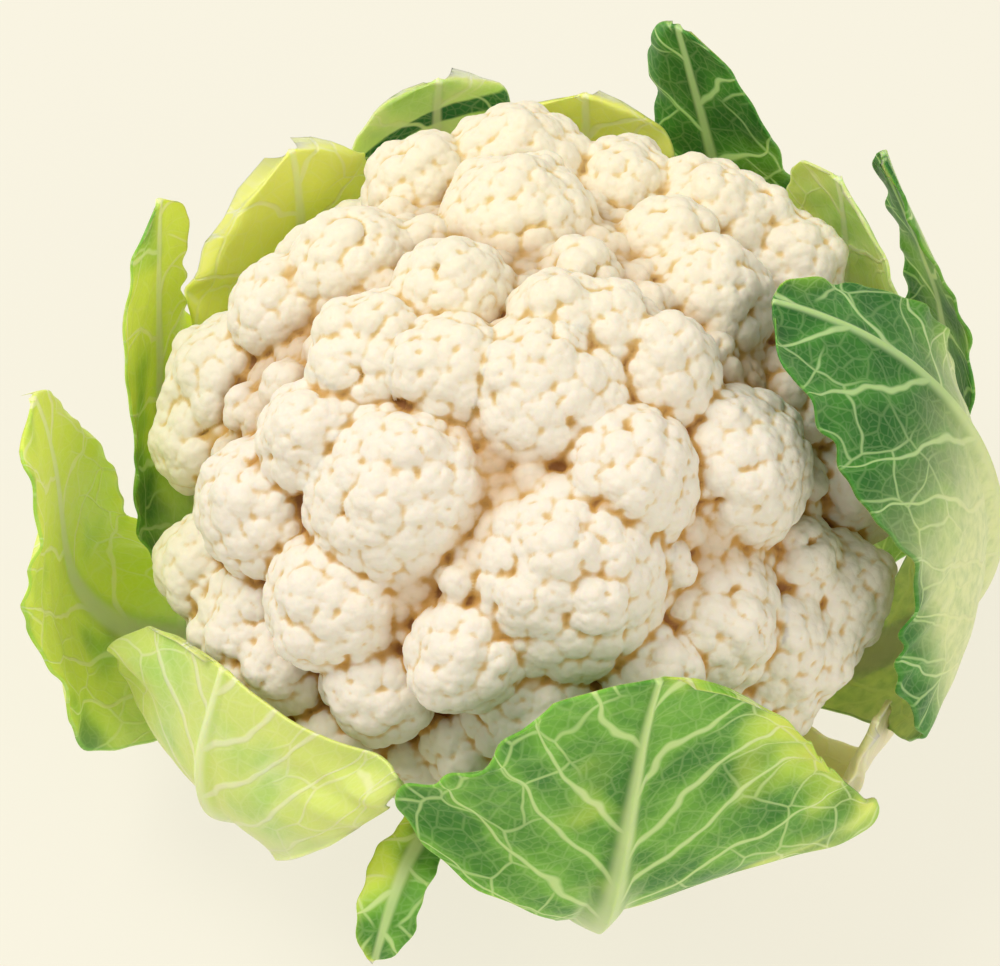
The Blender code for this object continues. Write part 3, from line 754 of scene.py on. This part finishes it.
def leaf_layer(leaf, line, length, u, f, half, depth):
    """Points of one face of the leaf: u along the midrib, f across it from -1 to 1, depth outwards."""
    share = bladed(leaf, u)
    along = np.clip(hung(leaf, length, u, f), 0, 1)
    stations = np.linspace(0, 1, len(line))
    slope = np.gradient(line, axis=0)
    slope /= np.linalg.norm(slope, axis=1, keepdims=True)
    r, z = (np.interp(along, stations, line[:, k]) for k in (0, 1))
    dr, dz = (np.interp(along, stations, slope[:, k]) for k in (0, 1))

    side = np.where(f > 0, 0, 2.1)
    run = along * length
    lift = leaf.roll * np.abs(f) ** 4 + leaf.wave * f * f * np.sin(2 * math.pi * leaf.waves * u + side)
    phase = leaf.bearing + 2 * side
    small = np.sin(2 * math.pi * run / RUFFLE + phase + 2.2 * np.sin(run / (13 * MM) + phase))
    small = small * (0.35 + 0.65 * np.sin(run / (17 * MM) + phase) ** 2)
    lift = lift + leaf.ruffle * np.abs(f) ** 3 * small
    pucker = np.sin(f * half / (PUCKER_ROW * MM) + 2 * np.sin(run / (11 * MM)))
    pucker = pucker * np.sin(run / (PUCKER_STEP * MM) + 5 * f)
    lift = lift + PUCKER * pucker * np.clip(np.abs(f) * 6, 0, 1)
    depth = depth + share * lift * MM
    r, z = r + dz * depth, z - dr * depth

    wrap = 1 + (leaf.wrap - 1) * share
    bend = np.maximum(r, 1 * MM) / wrap
    swing = f * half / bend
    inward, sideways = bend * (np.cos(swing) - 1), bend * np.sin(swing)
    twist = -math.radians(leaf.twist) * share
    radial = r + inward * np.cos(twist) - sideways * np.sin(twist)
    tangent = inward * np.sin(twist) + sideways * np.cos(twist)
    turn = leaf.root_bearing + (leaf.bearing - leaf.root_bearing) * smooth(u / 0.5) + leaf.sway * u * u
    turn = np.radians(turn)
    return np.stack([
        radial * np.sin(turn) + tangent * np.cos(turn),
        -radial * np.cos(turn) + tangent * np.sin(turn),
        z,
    ], -1)  # fmt: skip


def leaf_solid(leaf, material):
    """The leaf as a closed solid: inner face, outer face that swells to the midrib, and thin rim."""
    line, length = midrib(leaf)
    rows = int(length / LEAF_GRID)
    left, right = (int(side[0] * MM / LEAF_GRID) for side in (leaf.left, leaf.right))
    across = np.concatenate([np.linspace(-1, 0, left + 1), np.linspace(0, 1, right + 1)[1:]])
    u, f = np.meshgrid(np.linspace(0, 1, rows), across, indexing="ij")
    for k, at in enumerate(across):
        reached = np.maximum.accumulate(hung(leaf, length, u[:, k], at))
        u[:, k] *= np.interp(1, reached, u[:, k])
    half = np.where(f > 0, half_width(leaf, u, 1, length), half_width(leaf, u, -1, length))
    off = np.abs(f) * half
    rib = np.maximum(leaf.rib * MM * (1 - u) ** 1.2 + RIB_TIP * u - BLADE, 0)
    thick = BLADE + rib * np.maximum(0, 1 - off / rib_reach(leaf, u)) ** 0.8
    inner = leaf_layer(leaf, line, length, u, f, half, INNER_FACE).reshape(-1, 3)
    outer = leaf_layer(leaf, line, length, u, f, half, INNER_FACE + thick).reshape(-1, 3)
    wide, count = len(across), len(inner)
    ids = np.arange(count).reshape(u.shape)
    a, b, c, d = (ids[:-1, :-1], ids[:-1, 1:], ids[1:, 1:], ids[1:, :-1])
    front = np.stack([a, b, c, d], -1).reshape(-1, 4)
    behind = front[:, ::-1] + count
    rim = np.concatenate([ids[:, 0], ids[-1, 1:], ids[-2::-1, -1], ids[0, -2:0:-1]])
    after = np.roll(rim, -1)
    edge = np.stack([rim, after, after + count, rim + count], -1)
    mesh = bpy.data.meshes.new(leaf.name)
    mesh.from_pydata(np.vstack([inner, outer]).tolist(), [], np.vstack([front, behind, edge]).tolist())
    mesh.shade_smooth()
    bm = bmesh.new()
    bm.from_mesh(mesh)
    bmesh.ops.recalc_face_normals(bm, faces=bm.faces)
    bm.to_mesh(mesh)
    bm.free()
    green = smooth((u - leaf.pale) / GREENING)
    thin = smooth((off / MM - leaf.fleshy) / (4 + 0.35 * leaf.fleshy))
    green = np.maximum(green, np.where(f > 0, leaf.right_rim, leaf.left_rim) * thin)
    gilt = np.interp(f, (-1, 1), leaf.gilt)
    count, gap = side_veins(leaf, u * length / MM, off / MM)
    # A fold painted as colour: a dark band near the tip stands for the darker green and the shade of a
    # fold, while the blade stays unfolded. It is stored for both faces.
    fold = leaf.fold * np.exp(-(((u - FOLD_AT + 0.05 * f) / FOLD_WIDTH) ** 2))
    marks = {
        "blade": (u * length, f * half, off / half),
        "tone": (green, off / rib_reach(leaf, u), gilt),
        "veins": (count, gap * MM, fold),
    }
    for name, fields in marks.items():
        layer = mesh.attributes.new(name, "FLOAT_VECTOR", "POINT")
        values = np.stack(fields, -1).reshape(-1, 3)
        layer.data.foreach_set("vector", np.vstack([values, values]).astype(np.float32).ravel())
    mesh.materials.append(material)
    return link(leaf.name + "_blade", mesh)


LEAF_GLOW = (0.8, 1.0, 0.3)
# The deep green of the painted fold band: darker green and painted shade.
FOLD_SHADE_GREEN = (0.03, 0.18, 0.05)
GOLDEN_VEIN = (0.86, 0.92, 0.50)


def leaf_shade(name, deep, light, gold, rib, base):
    """A leaf's finish: a green that yellows in patches, under a pale midrib, side veins and a net of veins.

    The blade runs from deep to light green, and is gold where it has yellowed. rib colours its veins, and
    base the pale foot of the leaf.
    """
    shade = Shade(name, roughness=0.42, glow=0.85, depth=2.0 * MM, glow_reach=LEAF_GLOW, shine=0.35)
    along, across, margin = shade.parts(shade.attribute("blade", "Vector"))
    green, from_rib, gilt = shade.parts(shade.attribute("tone", "Vector"))
    flat = shade.joined(along, across)
    wander = shade.noise(22 * MM, 2.0, flat) - 0.5
    along, across = along + wander * 12 * MM, across + (shade.noise(15 * MM, 2.0, flat) - 0.5) * 5 * MM
    count, gap, fold = shade.parts(shade.attribute("veins", "Vector"))
    side = (across * 1e6).maths("SIGN") * 0.25
    vein_off = (count + side + wander * 0.9 + 0.5).to_middle(1.0) * gap
    vein_width = (1 - margin * 0.8) * 0.8 * MM + 0.08 * MM
    vein = 1 - (vein_off / vein_width).step(0.4, 1.6)
    rib_line = 1 - from_rib.step(0.25, 0.9)
    warped = shade.joined(along, across)
    branch = 1 - shade.cells(15 * MM, "DISTANCE_TO_EDGE", warped, True).step(0.005, 0.045)
    net = 1 - shade.cells(6 * MM, "DISTANCE_TO_EDGE", warped, True).step(0.01, 0.09)
    fine_net = 1 - shade.cells(2.3 * MM, "DISTANCE_TO_EDGE", flat, True).step(0.02, 0.16)
    coarse = rib_line.most(vein).most(branch * margin.step(0.2, 0.6) * 0.75)
    veins = coarse.most(net * 0.22).most(fine_net * 0.12)

    patches = shade.noise(20 * MM, 3.0)
    speckle = shade.noise(3 * MM, 3.0)
    beside = 1 - vein_off.step(0.4 * MM, 4 * MM)
    blade = shade.mix((patches + speckle * 0.3 + beside * 0.2).step(0.45, 0.95), deep, light)
    golden = (shade.noise(32 * MM, 2.0) + gilt * 0.6).step(0.60, 0.85)
    blade = shade.mix(golden, blade, gold)
    pale = shade.mix(speckle.step(0.3, 0.8) * 0.3, base, light)
    blade = shade.mix(green.most(fold), pale, blade)
    # Painted fold shade: the band darkens to a deep green on both faces of the leaf.
    folded = (fold + patches * 0.8 - 0.4).step(0.35, 0.65) * fold.step(0.05, 0.3)
    blade = shade.mix(folded, blade, FOLD_SHADE_GREEN)
    lit = shade.mix(golden, rib, GOLDEN_VEIN)
    blade = shade.mix(veins * 0.85, blade, shade.mix(green * 0.8, base, lit))
    shade.colour(shade.mix(margin.step(0.97, 1.0) * 0.5, blade, light))
    shade.roughness(shade.noise(5 * MM, 2.0) * 0.2 + 0.36)
    blister = 1 - shade.cells(2.3 * MM, "F1", flat, True)
    shade.relief(veins * 0.5 + blister * 0.25 + speckle * 0.3, 0.55 * MM, 0.6)
    return shade.material


LEAF_FINISHES = {
    "leaf_green": leaf_shade(
        "leaf_green", deep=(0.04, 0.20, 0.015), light=(0.19, 0.44, 0.05), gold=(0.70, 0.83, 0.12),
        rib=(0.58, 0.74, 0.30), base=(0.66, 0.75, 0.42),
    ),
    "leaf_pale": leaf_shade(
        "leaf_pale", deep=(0.42, 0.64, 0.14), light=(0.66, 0.80, 0.32), gold=(0.68, 0.80, 0.20),
        rib=(0.76, 0.85, 0.52), base=(0.72, 0.79, 0.46),
    ),
    "leaf_yellow": leaf_shade(
        "leaf_yellow", deep=(0.48, 0.68, 0.04), light=(0.64, 0.80, 0.09), gold=(0.82, 0.90, 0.20),
        rib=(0.78, 0.85, 0.36), base=(0.78, 0.84, 0.42),
    ),
    "leaf_dark": leaf_shade(
        "leaf_dark", deep=(0.016, 0.13, 0.010), light=(0.06, 0.25, 0.025), gold=(0.24, 0.46, 0.05),
        rib=(0.46, 0.66, 0.28), base=(0.70, 0.75, 0.38),
    ),
    "leaf_blush": leaf_shade(
        "leaf_blush", deep=(0.70, 0.62, 0.36), light=(0.76, 0.66, 0.46), gold=(0.66, 0.68, 0.34),
        rib=(0.82, 0.74, 0.56), base=(0.78, 0.70, 0.50),
    ),
}  # fmt: skip
for slot, leaves in LEAVES.items():
    for leaf in leaves:
        hand_over(leaf_solid(leaf, LEAF_FINISHES[slot]), leaf.name)


# Floor, light and camera
# A plain pale cream floor under soft daylight from the upper left, seen from the front and above.

FLOOR_CREAM = (0.93, 0.89, 0.75, 1)
FLOOR_LIT = (0.14, 0.134, 0.115, 1)  # how much of the lamps' light it returns on top of its own glow
FLOOR_BRIGHTNESS = 0.84
FLOOR_CORNERS = ((-3, -3), (3, -3), (3, 5), (-3, 5))  # metres
DAYLIGHT = (1.0, 0.98, 0.94)
DAYLIGHT_STRENGTH = 0.58

floor_shade = Shade("floor", roughness=0.9, shine=0.1)
floor_shade.surface.inputs["Base Color"].default_value = FLOOR_LIT
floor_shade.surface.inputs["Emission Color"].default_value = FLOOR_CREAM
floor_shade.surface.inputs["Emission Strength"].default_value = FLOOR_BRIGHTNESS
mesh = bpy.data.meshes.new("floor")
mesh.from_pydata([(x, y, 0) for x, y in FLOOR_CORNERS], [], [(0, 1, 2, 3)])
mesh.materials.append(floor_shade.material)
floor = link("floor", mesh)

world = bpy.data.worlds.new("studio")
world.use_nodes = True
world.node_tree.nodes["Background"].inputs["Color"].default_value = (*DAYLIGHT, 1)
world.node_tree.nodes["Background"].inputs["Strength"].default_value = DAYLIGHT_STRENGTH
scene = bpy.context.scene
scene.world = world
scene.view_settings.view_transform = "Standard"


def lamp(name, place, wide, watts, colour):
    """A square soft light aimed at the head."""
    light = bpy.data.lights.new(name, "AREA")
    light.size = wide
    light.energy = watts
    light.color = colour
    made = link(name, light)
    made.location = place
    made.rotation_euler = (Vector((0, 0, CURD_LEVEL)) - Vector(place)).to_track_quat("-Z", "Y").to_euler()


lamp("window", place=(-0.75, 0.25, 1.35), wide=0.8, watts=14, colour=DAYLIGHT)
lamp("fill", place=(0.9, -0.9, 0.8), wide=1.0, watts=6, colour=(1.0, 0.97, 0.92))

LENS = 135  # millimetres
FILM = 36
SHIFT = (-0.015, -0.023)  # the head's centre lies a little right of the picture's middle and above it
camera = link("camera", bpy.data.cameras.new("camera"))
camera.data.lens = LENS
camera.data.sensor_width = FILM
camera.data.shift_x, camera.data.shift_y = SHIFT
toward = Vector((0, -math.cos(SEEN_FROM), math.sin(SEEN_FROM)))
camera.location = Vector((0, 0, CURD_LEVEL)) + toward * SEEN_AT
camera.rotation_euler = (math.pi / 2 - SEEN_FROM, 0, 0)
scene.camera = camera
